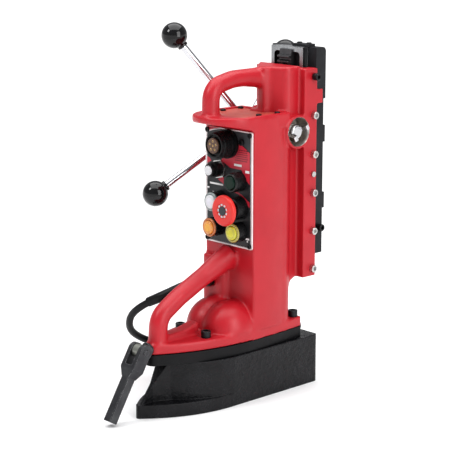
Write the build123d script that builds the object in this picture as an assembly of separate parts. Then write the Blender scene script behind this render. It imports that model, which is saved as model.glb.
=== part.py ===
"""Magnetic drill press stand.

An electromagnet base, a swivelling cast housing with a control panel, a dovetail slide fed by a
four-spoke capstan through a rack and pinion, and a clamp lever at the nose of the base.

Millimetres. +Z is up, -Y is the front (panel and nose), +Y the rear (slide), +X the gib screw side.
The origin is where the swivel axis meets the magnet's lower face.
"""
import os
from math import atan, cos, degrees, pi, radians, sin, tan

from build123d import *

# ---------------------------------------------------------------- driving dimensions
# magnet base
MAGNET_HALF = 48.0
MAGNET_REAR = 82.0
MAGNET_TOP = 65.0
SHOE_HEIGHT = 17.0
SHOE_HALF = 48.0
SHOE_NOSE = -192.0
BOW_FRONT = -145.0
MAGNET_POCKET = (34.0, -112.0, 64.0, 48.0)  # half width, front, rear, depth
CORE_HALF = 14.0

# swivel plate and housing flange share one boat-shaped plan
GAP = 0.1
PLATE_BOTTOM = MAGNET_TOP + GAP
PLATE_TOP = 79.0
FLANGE_TOP = 92.0
PLAN_REAR = 60.0
PLAN_REAR_HALF = 39.0
PLAN_WIDEST = 45.5
NOSE_TIP = -174.0
NOSE_RADIUS = 13.0

# swivel pivot
STUD_RADIUS = 8.0
BLOCK_HALF = 15.0
SHIFT_TRAVEL = 6.0

# column
COLUMN_FRONT = -34.2
COLUMN_REAR = 43.0
COLUMN_HALF = 46.5
WALL = 6.0
CAVITY_REAR = 22.0
CORD_BOSS_FRONT = -43.2

# deck and hood over the panel
DECK_TOP = 368.0
DECK_FLOOR = 363.0
DECK_BOTTOM = 350.0
HOOD_RADIUS = 46.0
COVER_THICK = 3.0

# slideway
WAY_HALF = 46.5
WAY_LEFT = 42.0
WAY_FRONT = 53.8
WAY_REAR = 76.7
WAY_BOTTOM = 146.5
WAY_TOP = 421.0
TOWER_TOP = 424.0
FIT = 0.05

# slide
SLIDE_BOTTOM = 174.0
SLIDE_TOP = 446.0
SLIDE_FRONT = 67.5
SLIDE_HALF_FRONT = 28.5
SLIDE_HALF_NECK = 24.5
PLATE_HALF = 40.0
PLATE_FRONT = 81.0
PLATE_BACK = 95.5
PAD_BACK = 99.0
GIB_THICK = 5.0

# rack and pinion
MODULE = 25.4 / 12
PINION_TEETH = 15
PRESSURE = 20.0
TOOTH_THIN = 0.12
PITCH_RADIUS = MODULE * PINION_TEETH / 2
FEED_Y = 46.2
FEED_Z = 340.0
RACK_HALF = 10.5
PITCH_LINE = FEED_Y + PITCH_RADIUS
RACK_BOTTOM = 177.0
TOP_SCREW_X = (4.0, 21.0)

# capstan
SHAFT_RADIUS = 8.0
HUB_APEX = -52.0
HUB_NEAR = -51.0
HUB_FAR = -70.0
HUB_RADIUS = 20.0
SPOKE_RADIUS = 4.75
SPOKE_REACH = 146.6
SPOKE_LEAN = 48.5
KNOB_RADIUS = 17.0
RECESS_FLOOR = 26.0
SPOKE_ANGLES = [35.3 + 90 * k for k in range(4)]

# panel and controls
PANEL_HALF = 43.3
PANEL_BOTTOM = 197.4
PANEL_TOP = 348.2
PANEL_THICK = 2.0
PANEL_FACE = COLUMN_FRONT - PANEL_THICK
RECEPTACLE = (0.0, 329.5)
BREAKER = (-16.5, 295.0)
STOP = (21.0, 249.5)
GROUND_SCREW = (25.0, 334.0)
BUTTONS = {
    "green": (21.0, 283.5),
    "white": (-14.0, 254.5),
    "orange": (-17.5, 220.5),
    "yellow": (23.0, 219.0),
}
BUTTON_BARREL = 12.5
BUTTON_LENGTH = {"green": 17.0, "white": 18.5, "orange": 18.5, "yellow": 16.0}
CAP_RADIUS = 8.9
CAP_PROUD = 2.0

# clamp lever
PIVOT_Y = -186.0
PIVOT_Z = 86.5
LEVER_LEAN = 31.0
LEVER_LENGTH = 94.5

# power cord
CORD_DIAMETER = 9.6
CORD_RADIUS = CORD_DIAMETER / 2
GLAND = (-29.0, CORD_BOSS_FRONT, 148.5)
COIL_CENTRE = (-136.0, 150.0)
COIL_MIDDLE_RADIUS = 55.0
COIL_HALF_BAND = 12.0
COIL_HEIGHT = 29.0
SLEEVE_ROUTE = [
    (-29.0, CORD_BOSS_FRONT - 5, 148.5),
    (-29.0, -66.0, 148.5),
    (-43.8, -108.4, 134.7),
    (-65.0, -117.0, 123.4),
]
CORD_ROUTE = [
    (-52.2, -111.8, 130.2),
    (-86.0, -125.4, 112.3),
    (-111.0, -115.5, 78.6),
    (-120.4, -82.5, 54.2),
    (-110.6, -50.7, 43.2),
    (-106.4, -14.1, 19.5),
    (-92.0, 18.0, CORD_RADIUS + 0.4),
    (-83.0, 68.0, CORD_RADIUS + 0.4),
    (-80.2, 106.8, CORD_RADIUS + 0.4),
]

os.makedirs("parts", exist_ok=True)


# ---------------------------------------------------------------- small helpers
def save(name, shape):
    export_step(shape, f"parts/{name}.step")


def block(x0, x1, y0, y1, z0, z1):
    """A box between two corners."""
    centre = ((x0 + x1) / 2, (y0 + y1) / 2, (z0 + z1) / 2)
    return Pos(*centre) * Box(x1 - x0, y1 - y0, z1 - z0)


def rod_x(radius, x0, x1, y, z):
    return Pos((x0 + x1) / 2, y, z) * Rot(0, 90, 0) * Cylinder(radius, x1 - x0)


def rod_y(radius, y0, y1, x, z):
    return Pos(x, (y0 + y1) / 2, z) * Rot(90, 0, 0) * Cylinder(radius, y1 - y0)


def rod_z(radius, z0, z1, x, y):
    return Pos(x, y, (z0 + z1) / 2) * Cylinder(radius, z1 - z0)


def prism_z(face, z0, z1):
    return Pos(0, 0, z0) * extrude(face, z1 - z0, dir=(0, 0, 1))


def profile_x(points, x0, x1):
    """A straight-sided outline given as (y, z) points, run along X."""
    outline = make_face(Polyline([(x0, y, z) for y, z in points], close=True))
    return extrude(outline, x1 - x0, dir=(1, 0, 0))


def prism_points(points, z0, z1):
    """A straight-sided outline given as (x, y) points, run along Z."""
    return prism_z(make_face(Polyline([(x, y, 0) for x, y in points], close=True)), z0, z1)


def round_stern(shape, y, radius):
    """Rounds the upright edges at the rear of a plan."""
    edges = shape.edges().filter_by(Axis.Z).filter_by(lambda edge: edge.center().Y > y - 1)
    return fillet(edges, radius)


def mirrored(points):
    """The right-hand half of an outline and its mirror image about X = 0."""
    return [(x, y) for x, y in points] + [(-x, y) for x, y in reversed(points)]


def hex_socket(across, depth):
    """A hexagonal recess along +Z from the origin down."""
    return Pos(0, 0, -depth) * extrude(RegularPolygon(across / 2, 6, major_radius=False), depth + 1)


def cap_screw(head_radius, head_height, shank_radius, shank_length):
    """A socket head screw along +Z, with its head seated on Z = 0."""
    head = Pos(0, 0, head_height / 2) * Cylinder(head_radius, head_height)
    head = chamfer(head.edges().group_by(Axis.Z)[-1], 0.6)
    head -= Pos(0, 0, head_height) * hex_socket(head_radius, head_height * 0.5)
    return head + Pos(0, 0, -shank_length / 2) * Cylinder(shank_radius, shank_length)


def ring(outer, inner, height):
    return Cylinder(outer, height) - Cylinder(inner, height + 2)


def facing_front(shape, x, y, z):
    """Turns a part made along +Z so that it points to the front, and places it."""
    return Pos(x, y, z) * Rot(90, 0, 0) * shape


def facing_right(shape, x, y, z):
    """Turns a part made along +Z so that it points to +X, and places it."""
    return Pos(x, y, z) * Rot(0, 90, 0) * shape


# ---------------------------------------------------------------- plans
def symmetric_face(across, right):
    """A face bounded by edges that cross X = 0, and by right-hand edges and their mirror images."""
    left = [mirror(edge, about=Plane.YZ) for edge in right]
    return make_face(Curve() + across + right + left)


def boat_plan():
    """Plan of the swivel plate and of the housing's flange."""
    start = (NOSE_RADIUS * 0.93, NOSE_TIP + NOSE_RADIUS * 0.72)
    side = ThreePointArc(start, (36.8, -105.0), (PLAN_WIDEST, -42.0))
    stern = ThreePointArc((PLAN_WIDEST, -42.0), (43.9, 6.0), (PLAN_REAR_HALF, PLAN_REAR))
    nose = ThreePointArc((-start[0], start[1]), (0, NOSE_TIP), start)
    back = Line((PLAN_REAR_HALF, PLAN_REAR), (-PLAN_REAR_HALF, PLAN_REAR))
    return symmetric_face([nose, back], [side, stern])


def shoe_plan():
    """Plan of the magnet's foot, which runs out to a low pointed toe."""
    tip = (5.0, SHOE_NOSE + 4.0)
    side = ThreePointArc(tip, (32.5, -146.0), (SHOE_HALF, -75.0))
    flank = Line((SHOE_HALF, -75.0), (SHOE_HALF, MAGNET_REAR))
    toe = ThreePointArc((-tip[0], tip[1]), (0, SHOE_NOSE), tip)
    back = Line((SHOE_HALF, MAGNET_REAR), (-SHOE_HALF, MAGNET_REAR))
    return symmetric_face([toe, back], [side, flank])


def magnet_plan():
    """Plan of the magnet's tall body, blunt at the front."""
    side = ThreePointArc((12.0, BOW_FRONT), (36.0, -114.0), (MAGNET_HALF, -70.0))
    flank = Line((MAGNET_HALF, -70.0), (MAGNET_HALF, MAGNET_REAR))
    back = Line((MAGNET_HALF, MAGNET_REAR), (-MAGNET_HALF, MAGNET_REAR))
    front = Line((-12.0, BOW_FRONT), (12.0, BOW_FRONT))
    return symmetric_face([front, back], [side, flank])


def column_plan():
    """Plan of the housing's column: a flat front, bowed sides and rounded rear corners."""
    corner = (COLUMN_HALF - 3.5, 20.0)
    inner = (COLUMN_HALF - 17.0, COLUMN_REAR)
    side = ThreePointArc((COLUMN_HALF - 1.5, COLUMN_FRONT), (COLUMN_HALF, -8.0), corner)
    bend = ThreePointArc(corner, (COLUMN_HALF - 7.5, 34.0), inner)
    back = Line(inner, (-inner[0], inner[1]))
    front = Line((1.5 - COLUMN_HALF, COLUMN_FRONT), (COLUMN_HALF - 1.5, COLUMN_FRONT))
    return symmetric_face([front, back], [side, bend])


def deck_plan(inset=0.0):
    """Plan of the deck: the column's width with a half-round hood in front."""
    half = HOOD_RADIUS - inset
    rear = 30.0 - inset
    arc = ThreePointArc((-half, -36.0), (0, -36.0 - half), (half, -36.0))
    right = Line((half, -36.0), (half - 1.5, rear))
    back = Line((half - 1.5, rear), (1.5 - half, rear))
    left = Line((1.5 - half, rear), (-half, -36.0))
    return make_face(Curve() + [arc, right, back, left])


# ---------------------------------------------------------------- magnet
def make_magnet():
    foot = round_stern(prism_z(shoe_plan(), 0, SHOE_HEIGHT), MAGNET_REAR, 5)
    tower = round_stern(prism_z(magnet_plan(), 0, MAGNET_TOP), MAGNET_REAR, 5)
    bow_points = [(BOW_FRONT + 2, MAGNET_TOP - 1), (-150.5, MAGNET_TOP - 1), (-185.0, SHOE_HEIGHT), (BOW_FRONT + 2, SHOE_HEIGHT - 4)]
    wedge = profile_x(bow_points, -12, 12)
    for side in (1, -1):
        cut = [(side * 2.5, -190), (side * 2.5, -168), (side * 13.0, BOW_FRONT), (side * 60, BOW_FRONT), (side * 60, -190)]
        wedge -= prism_points(cut, SHOE_HEIGHT - 6, MAGNET_TOP + 1)
    body = foot + tower + wedge
    half, front, rear, depth = MAGNET_POCKET
    body -= block(-half, half, front, rear, -1, depth)
    body -= rod_z(STUD_RADIUS, MAGNET_TOP - 12, MAGNET_TOP + 1, 0, 0)
    save("magnet_body", body)

    core = block(-CORE_HALF, CORE_HALF, front + 20, rear - 20, 0, depth)
    save("magnet_core", core)
    winding = block(-half + 3, half - 3, front + 3, rear - 3, 12, depth - 1)
    winding -= block(-CORE_HALF - 1, CORE_HALF + 1, front + 19, rear - 19, 0, depth)
    winding = fillet(winding.edges().filter_by(Axis.Z), 3)
    save("magnet_coil", winding)
    potting = block(-half, half, front, rear, 0.3, 11) - core
    save("magnet_potting", potting)

    stud = rod_z(STUD_RADIUS, MAGNET_TOP - 12, 113, 0, 0)
    stud = chamfer(stud.edges().group_by(Axis.Z)[-1], 1.2)
    save("pivot_stud", stud)
    washer = Pos(0, 0, FLANGE_TOP + GAP + 1.5) * ring(15.4, STUD_RADIUS + 0.2, 3)
    nut = extrude(RegularPolygon(12.0, 6, major_radius=False), 13)
    nut = Pos(0, 0, FLANGE_TOP + GAP + 3.1) * (nut - Pos(0, 0, 6) * Cylinder(STUD_RADIUS, 15))
    save("pivot_nut", Compound([washer, nut]))


def make_swivel_block():
    body = block(-BLOCK_HALF, BLOCK_HALF, -BLOCK_HALF, BLOCK_HALF, PLATE_BOTTOM + GAP, PLATE_TOP - GAP)
    body = fillet(body.edges().filter_by(Axis.Z), 1.5)
    body -= rod_z(STUD_RADIUS + FIT, 0, 100, 0, 0)
    save("swivel_block", body)


BASE_SCREW_PLACES = [(31.0, 51.5), (-31.0, 51.5), (24.5, -98.0), (-24.5, -98.0)]


def make_swivel_plate():
    body = round_stern(prism_z(boat_plan(), PLATE_BOTTOM, PLATE_TOP), PLAN_REAR, 4)
    reach = BLOCK_HALF + SHIFT_TRAVEL + 0.5
    body -= block(-BLOCK_HALF - FIT, BLOCK_HALF + FIT, -reach, reach, 0, 100)
    body -= block(-12, 12, -150, -118, PLATE_TOP - 9, PLATE_TOP + 1)
    for x, y in BASE_SCREW_PLACES:
        body -= rod_z(3.3, 0, 100, x, y)
    save("swivel_plate", body)


# ---------------------------------------------------------------- housing
def handle_tube(points, radii, radius):
    """A round bar along straight runs joined by arcs."""
    path = FilletPolyline(points, radius=radii)
    section = Plane(path @ 0, z_dir=path % 0) * Circle(radius)
    return sweep(section, path)


def flange_outside():
    """The base flange of the casting, with the rib along its nose."""
    flange = round_stern(prism_z(boat_plan(), PLATE_TOP, FLANGE_TOP), PLAN_REAR, 4)
    rib = [(-96, 90), (-96, 108), (-120, 102), (-150, 100), (-166, 96), (-166, 90)]
    return flange + profile_x(rib, -9, 9)


def housing_outside():
    shell = prism_z(column_plan(), FLANGE_TOP, DECK_TOP - 4)
    # slideway box, and the neck that joins it to the column
    shell += block(-WAY_LEFT, WAY_HALF, WAY_FRONT, WAY_REAR, WAY_BOTTOM, WAY_TOP)
    shell += block(-34, 34, COLUMN_REAR - 4, WAY_FRONT + 1, WAY_BOTTOM, DECK_TOP)
    foot = block(-34, 34, COLUMN_REAR - 1, WAY_FRONT + 0.2, WAY_BOTTOM - 12, WAY_BOTTOM + 1)
    foot -= rod_x(12, -40, 40, WAY_FRONT + 1.0, WAY_BOTTOM - 12.0)
    shell += foot
    # tower behind the deck
    tower = [(12.0, 13.0), (17.0, 22.0), (34.0, 30.0), (38.0, 36.0), (36.5, 55.0)]
    tower += [(-36.5, 55.0), (-28.0, 42.0), (-12.0, 27.0), (0.0, 15.0)]
    shell += prism_points(tower, DECK_BOTTOM, TOWER_TOP)
    # deck with its hood
    deck = prism_z(deck_plan(), DECK_BOTTOM, DECK_TOP)
    under = [(COLUMN_FRONT, DECK_BOTTOM - 0.1), (COLUMN_FRONT, DECK_BOTTOM - 20), (-90, DECK_BOTTOM - 20), (-90, 361.2)]
    deck -= profile_x(under, -60, 60)
    shell += deck
    # boss for the cord's entry, and the two domes over the base
    boss = block(-43.5, -2, CORD_BOSS_FRONT, -30, FLANGE_TOP, 181)
    shell += fillet(boss.edges().filter_by(Axis.Z).group_by(Axis.Y)[0], 5)
    for side in (1, -1):
        dome = scale(Solid.make_sphere(1.0), by=(33, 38, 37))
        dome = Pos(side * 14, -49, FLANGE_TOP) * dome
        shell += dome - block(-60, 60, -120, 60, 20, FLANGE_TOP)
    # boss for the feed shaft and ear beside the slide
    shell += rod_x(21, -50, -20, FEED_Y, FEED_Z)
    shell += rod_x(22, 20, WAY_HALF, FEED_Y - 2.5, FEED_Z + 1)
    shell += block(PLATE_HALF + 1.5, WAY_HALF, WAY_REAR - 2, 88, 375, 393)
    shell += block(PLATE_HALF - 6, WAY_HALF, WAY_REAR - 6, WAY_REAR, 373, 395)
    return shell


def top_handle_outside():
    bar = handle_tube([(0, -67, 358), (0, -66, 403), (0, -30, 411), (0, 30, 411.5)], [20, 60], 11.2)
    small = Plane((0, -16, 409.6), z_dir=(0, 1, 0)) * Circle(9.2)
    large = Plane((0, 34, 408.5), z_dir=(0, 1, 0)) * Circle(14.5)
    return bar + loft([small, large])


def loop_handle_outside():
    """The front loop, thicker where it leaves the column."""
    bar = handle_tube([(0, -42, 181), (0, -122, 144), (0, -155, 124), (0, -158, 84)], [60, 24], 12.0)
    thick = Plane((0, -34, 184), z_dir=(0, -0.9, -0.42)) * Circle(16)
    thin = Plane((0, -102, 153.2), z_dir=(0, -0.9, -0.42)) * Circle(10.2)
    return bar + loft([thick, thin])


def dovetail(extra, z0, z1, gib):
    """The dovetail's space, widened by a clearance and, on +X, by the gib strip."""
    front = SLIDE_FRONT - extra
    slope = (SLIDE_HALF_FRONT - SLIDE_HALF_NECK) / (WAY_REAR - SLIDE_FRONT)
    left_front = SLIDE_HALF_FRONT + extra
    left_rear = left_front - slope * (WAY_REAR + 1 - front)
    points = [
        (-left_front, front),
        (left_front + gib, front),
        (left_rear + gib, WAY_REAR + 1),
        (-left_rear, WAY_REAR + 1),
    ]
    return prism_points(points, z0, z1)


GIB_SCREW_Z = [156.9 + 50.8 * k for k in range(5)]
GIB_SCREW_Y = 70.5
DOWEL_Z = 283.0
LOCK_SCREW_Z = 410.0
DECK_SCREW_PLACES = [(33.0, -15.0), (-33.0, -15.0), (34.0, 17.0), (-34.0, 17.0)]
PANEL_SCREW_PLACES = [(x, z) for x in (-39.3, 39.3) for z in (PANEL_BOTTOM + 4.5, PANEL_TOP - 4.5)]


def make_housing():
    body = housing_outside()
    flange = flange_outside()
    top_handle = top_handle_outside() - body
    save("top_handle", top_handle.solids().sort_by(SortBy.VOLUME)[-1])
    save("loop_handle", loop_handle_outside() - body - flange)
    # hollow column, opened behind the panel and under the deck cover
    hollow = block(-38, 38, COLUMN_FRONT + WALL, CAVITY_REAR, FLANGE_TOP - 1, DECK_FLOOR - 8)
    hollow = fillet(hollow.edges().filter_by(Axis.Z), 2)
    body -= hollow
    window = block(-35, 35, COLUMN_FRONT - 1, COLUMN_FRONT + WALL + 1, PANEL_BOTTOM + 8, PANEL_TOP - 5)
    body -= fillet(window.edges().filter_by(Axis.Y), 4)
    body -= block(-32, 32, -24, 8, DECK_FLOOR - 10, DECK_TOP + 1)
    cover = block(-39, 39, -50, 24, DECK_FLOOR, DECK_TOP + 8)
    cover = fillet(cover.edges().filter_by(Axis.Z), 8)
    keep = prism_points(mirrored([(12.0, 13.0), (17.0, 22.0), (34.0, 30.0)]), DECK_FLOOR - 1, TOWER_TOP)
    keep += rod_z(13, DECK_FLOOR - 1, DECK_TOP + 20, 0, -67)
    body -= cover - keep - block(-12, 12, 13, 40, DECK_FLOOR - 1, TOWER_TOP)
    # slot for the pivot stud in the flange
    slot = Pos(0, 0, PLATE_TOP - 1) * extrude(Rot(0, 0, 90) * SlotCenterToCenter(2 * SHIFT_TRAVEL + 1, 18), 20)
    flange -= slot
    # dovetail, rack slot and pinion space
    body -= dovetail(FIT, WAY_BOTTOM - 1, TOWER_TOP + 1, GIB_THICK + FIT)
    body -= block(-RACK_HALF - 1, RACK_HALF + 1, 58.8, SLIDE_FRONT + 1, WAY_BOTTOM - 14, TOWER_TOP + 1)
    body -= rod_x(19.2, -11.5, 11.5, FEED_Y, FEED_Z)
    # feed shaft bore, wing screw bore and its spot face
    body -= rod_x(11, -60, -11, FEED_Y, FEED_Z)
    body -= rod_x(11, 11, 18, FEED_Y, FEED_Z)
    body -= rod_x(5, 17, 60, FEED_Y, FEED_Z)
    body -= rod_x(18.5, RECESS_FLOOR, 60, FEED_Y - 2.5, FEED_Z + 1)
    # gib screws, dowel and lock screw
    for z in GIB_SCREW_Z + [LOCK_SCREW_Z]:
        body -= rod_x(3, 30, 60, GIB_SCREW_Y, z)
    body -= rod_x(2.5, 38, 60, GIB_SCREW_Y, DOWEL_Z)
    # fasteners and cord entry
    for x, y in BASE_SCREW_PLACES:
        flange -= rod_z(3.6, PLATE_TOP - 1, FLANGE_TOP + 1, x, y)
        body -= rod_z(7.2, FLANGE_TOP, FLANGE_TOP + 22, x, y)
    for x, y in DECK_SCREW_PLACES:
        body -= rod_z(2.0, DECK_FLOOR - 7, DECK_FLOOR + 1, x, y)
    for x, z in PANEL_SCREW_PLACES:
        body -= rod_y(1.75, COLUMN_FRONT - 1, COLUMN_FRONT + 5, x, z)
    body -= rod_y(8.0, CORD_BOSS_FRONT - 1, COLUMN_FRONT + WALL + 2, GLAND[0], GLAND[2])
    # bore for the draw bar and the pocket for its wedge
    flange -= rod_y(5.2, NOSE_TIP - 2, -126, 0, PIVOT_Z)
    flange -= block(-12, 12, -150, -118, PLATE_TOP - 1, FLANGE_TOP - 1)
    save("housing_flange", flange - body)
    save("housing", body)


def make_base_screws():
    screw = cap_screw(6.3, 8.5, 3.2, 24)
    save("base_screws", Compound([Pos(x, y, FLANGE_TOP) * screw for x, y in BASE_SCREW_PLACES]))


def make_deck_cover():
    body = block(-38.5, 38.5, -49.5, 23.5, DECK_FLOOR, DECK_FLOOR + COVER_THICK)
    body = fillet(body.edges().filter_by(Axis.Z), 7.5)
    tower = [(12.6, 12.4), (17.6, 21.4), (34.0, 29.2)]
    body -= prism_points(mirrored(tower), DECK_FLOOR - 1, DECK_TOP + 9)
    body -= block(-13, 13, 12.4, 40, DECK_FLOOR - 1, DECK_TOP + 9)
    for x, y in DECK_SCREW_PLACES:
        body -= rod_z(2.2, DECK_FLOOR - 1, DECK_TOP, x, y)
    body -= rod_z(13.5, DECK_FLOOR - 1, DECK_TOP, 0, -67)
    save("deck_cover", body)


# ---------------------------------------------------------------- panel and controls
def make_panel():
    plate = block(-PANEL_HALF, PANEL_HALF, PANEL_FACE, COLUMN_FRONT, PANEL_BOTTOM, PANEL_TOP)
    plate = fillet(plate.edges().filter_by(Axis.Y), 2.5)
    holes = [(RECEPTACLE, 13.4), (BREAKER, 8.2), (STOP, 11.2)] + [(place, 11.2) for place in BUTTONS.values()]
    for (x, z), radius in holes:
        plate -= rod_y(radius, PANEL_FACE - 1, COLUMN_FRONT + 1, x, z)
    for x, z in PANEL_SCREW_PLACES:
        plate -= rod_y(1.9, PANEL_FACE - 1, COLUMN_FRONT + 1, x, z)
    plate -= rod_y(1.9, PANEL_FACE - 1, COLUMN_FRONT + 1, *GROUND_SCREW)
    save("panel_plate", plate)
    deck_screw = cap_screw(3.6, 2.6, 1.9, COVER_THICK + 5)
    deck_top = DECK_FLOOR + COVER_THICK
    screws = [Pos(x, y, deck_top) * deck_screw for x, y in DECK_SCREW_PLACES]
    panel_screw = cap_screw(3.3, 2.2, 1.7, PANEL_THICK + 4)
    screws += [facing_front(panel_screw, x, PANEL_FACE, z) for x, z in PANEL_SCREW_PLACES]
    ground_screw = cap_screw(4.2, 3.5, 1.8, PANEL_THICK + 4)
    screws.append(facing_front(ground_screw, GROUND_SCREW[0], PANEL_FACE, GROUND_SCREW[1]))
    save("cover_screws", Compound(screws))


def make_receptacle():
    x, z = RECEPTACLE
    barrel = Pos(0, 0, 2.5) * Cylinder(18.8, 5) + Pos(0, 0, 12) * Cylinder(16.4, 18)
    barrel = chamfer(barrel.edges().group_by(Axis.Z)[-1], 0.6)
    barrel += Pos(0, 0, 23) * Cylinder(15.6, 5)
    for k in range(4):
        barrel += Pos(0, 0, 8.5 + 3.4 * k) * Cylinder(17.3, 1.6)
    barrel += Pos(0, 0, -9) * Cylinder(13.2, 18)
    barrel -= Pos(0, 0, 24.5) * ring(13.6, 10.6, 4)
    barrel -= Pos(0, 0, 14) * Cylinder(9.85, 60)
    save("receptacle_shell", facing_front(barrel, x, PANEL_FACE, z))
    insert = Pos(0, 0, 4.5) * Cylinder(9.8, 30)
    pins = [(0.0, 0.0)] + [(5.8 * cos(radians(72 * k + 18)), 5.8 * sin(radians(72 * k + 18))) for k in range(5)]
    for px, py in pins:
        insert -= Pos(px, py, 14) * Cylinder(1.55, 30)
    save("receptacle_insert", facing_front(insert, x, PANEL_FACE - 8, z))
    sleeves = [Pos(px, py, 10.5) * ring(1.5, 0.7, 17.6) for px, py in pins]
    save("receptacle_contacts", facing_front(Compound(sleeves), x, PANEL_FACE - 8, z))


def make_breaker():
    x, z = BREAKER
    body = Pos(0, 0, 8) * Cylinder(10.0, 10) + Pos(0, 0, 16) * Cylinder(8.4, 7)
    body += Pos(0, 0, -10) * Cylinder(8.0, 26)
    body = chamfer(body.edges().group_by(Axis.Z)[-1], 0.6)
    body -= Pos(0, 0, 10) * Cylinder(6.3, 24)
    save("breaker_body", facing_front(body, x, PANEL_FACE, z))
    nut = extrude(RegularPolygon(11.2, 6, major_radius=False), 2.8) - Cylinder(8.05, 12)
    save("breaker_nut", facing_front(Rot(0, 0, 12) * nut, x, PANEL_FACE - 0.1, z))
    cap = Pos(0, 0, 11.0) * Cylinder(6.2, 21)
    cap = chamfer(cap.edges().group_by(Axis.Z)[-1], 0.8)
    save("breaker_button", facing_front(cap, x, PANEL_FACE, z))


def make_buttons():
    barrels = []
    rims = []
    for name, (x, z) in BUTTONS.items():
        length = BUTTON_LENGTH[name]
        barrel = Pos(0, 0, length / 2 - 1) * Cylinder(BUTTON_BARREL, length - 2)
        barrel = chamfer(barrel.edges().group_by(Axis.Z)[-1], 0.8)
        barrel += Pos(0, 0, -7) * Cylinder(11.0, 16)
        barrel -= Pos(0, 0, 1) * Cylinder(9.0, 60)
        barrels.append(facing_front(barrel, x, PANEL_FACE, z))
        rim = Pos(0, 0, length - 1.0) * ring(12.2, 9.0, 2.0)
        rim = chamfer(rim.edges().group_by(Axis.Z)[-1], 0.7)
        rims.append(facing_front(rim, x, PANEL_FACE, z))
        cap = Pos(0, 0, length + CAP_PROUD - 5) * Cylinder(CAP_RADIUS, 10)
        cap = chamfer(cap.edges().group_by(Axis.Z)[-1], 1.0)
        cap += Pos(0, 0, length / 2 - 6) * Cylinder(4.0, length)
        save(f"button_{name}", facing_front(cap, x, PANEL_FACE, z))
    save("button_barrels", Compound(barrels))
    save("button_rims", Compound(rims))
    contact = block(-14, 14, COLUMN_FRONT + 13.1, COLUMN_FRONT + 30, -11, 11)
    places = list(BUTTONS.values()) + [STOP]
    save("contact_blocks", Compound([Pos(x, 0, z) * contact for x, z in places]))


def make_stop():
    x, z = STOP
    collar = Pos(0, 0, 8) * Cylinder(14.2, 16)
    collar = chamfer(collar.edges().group_by(Axis.Z)[-1], 1)
    collar += Pos(0, 0, 1.5) * Cylinder(15.4, 3)
    collar += Pos(0, 0, -7) * Cylinder(11.0, 16)
    collar -= Pos(0, 0, 1) * Cylinder(9.4, 60)
    save("stop_collar", facing_front(collar, x, PANEL_FACE, z))
    head = Pos(0, 0, 27.6) * Cylinder(19.8, 6.8)
    head = fillet(head.edges().group_by(Axis.Z)[-1], 3.2)
    head = fillet(head.edges().group_by(Axis.Z)[0], 1.6)
    head += loft([Pos(0, 0, 18.8) * Circle(12.6), Pos(0, 0, 24.6) * Circle(14.6)])
    head += Pos(0, 0, 5) * Cylinder(9.2, 30)
    head -= Pos(0, 0, 30.6) * Cylinder(9.4, 0.9)
    save("stop_mushroom", facing_front(head, x, PANEL_FACE, z))
    disc = Pos(0, 0, 30.6) * Cylinder(6.0, 0.9)
    save("stop_disc", facing_front(disc, x, PANEL_FACE, z))


def make_electronics():
    board = block(-34, 34, 12, 13.6, 206, 300)
    bridge = block(-14, 14, 2, 12, 214, 242) + rod_y(2.5, 0.5, 3, 0, 228)
    strip = block(-30, 30, 4, 12, 262, 276)
    for k in range(6):
        strip -= rod_y(3.0, 3, 8, -22.5 + 9 * k, 269)
    save("control_board", Compound([board, bridge, strip]))


# ---------------------------------------------------------------- slide
def make_slide():
    slope = (SLIDE_HALF_FRONT - SLIDE_HALF_NECK) / (WAY_REAR - SLIDE_FRONT)
    rear_half = SLIDE_HALF_FRONT - slope * (WAY_REAR - SLIDE_FRONT)
    section = [(SLIDE_HALF_FRONT, SLIDE_FRONT), (rear_half, WAY_REAR), (rear_half, PLATE_FRONT + 1)]
    body = prism_points(mirrored(section), SLIDE_BOTTOM, SLIDE_TOP)
    back = block(-PLATE_HALF, PLATE_HALF, PLATE_FRONT, PLATE_BACK, SLIDE_BOTTOM, SLIDE_TOP)
    for z0, z1 in ((234, 255), (322, 344), (379, SLIDE_TOP)):
        back += block(-PLATE_HALF, PLATE_HALF, PLATE_BACK - 1, PAD_BACK, z0, z1)
    crest = back.edges().filter_by(Axis.X).group_by(Axis.Z)[-1].sort_by(Axis.Y)[-1]
    back = fillet(crest, 6)
    body += back
    pocket = block(-23, 23, SLIDE_FRONT - 1, 73, SLIDE_BOTTOM - 1, 439.4)
    top_edges = pocket.edges().filter_by(Axis.Y).group_by(Axis.Z)[-1]
    body -= fillet(top_edges, 5)
    for x in (-20, 20):
        for z in MOTOR_HOLE_Z:
            body -= rod_y(3.3, PLATE_FRONT, PAD_BACK + 1, x, z)
    for z in RACK_SCREW_Z:
        body -= rod_y(2.5, 72, PLATE_BACK - 6, 0, z)
    body -= rod_x(3.1, PLATE_HALF - 12, PLATE_HALF + 1, 88, STOP_SCREW_Z)
    for x in TOP_SCREW_X:
        body -= rod_z(2.0, SLIDE_TOP - 8, SLIDE_TOP + 1, x, 87)
    save("slide", body)


MOTOR_HOLE_Z = (244.5, 333.0)
RACK_SCREW_Z = [200.0 + 55 * k for k in range(5)]
STOP_SCREW_Z = 209.0


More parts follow.
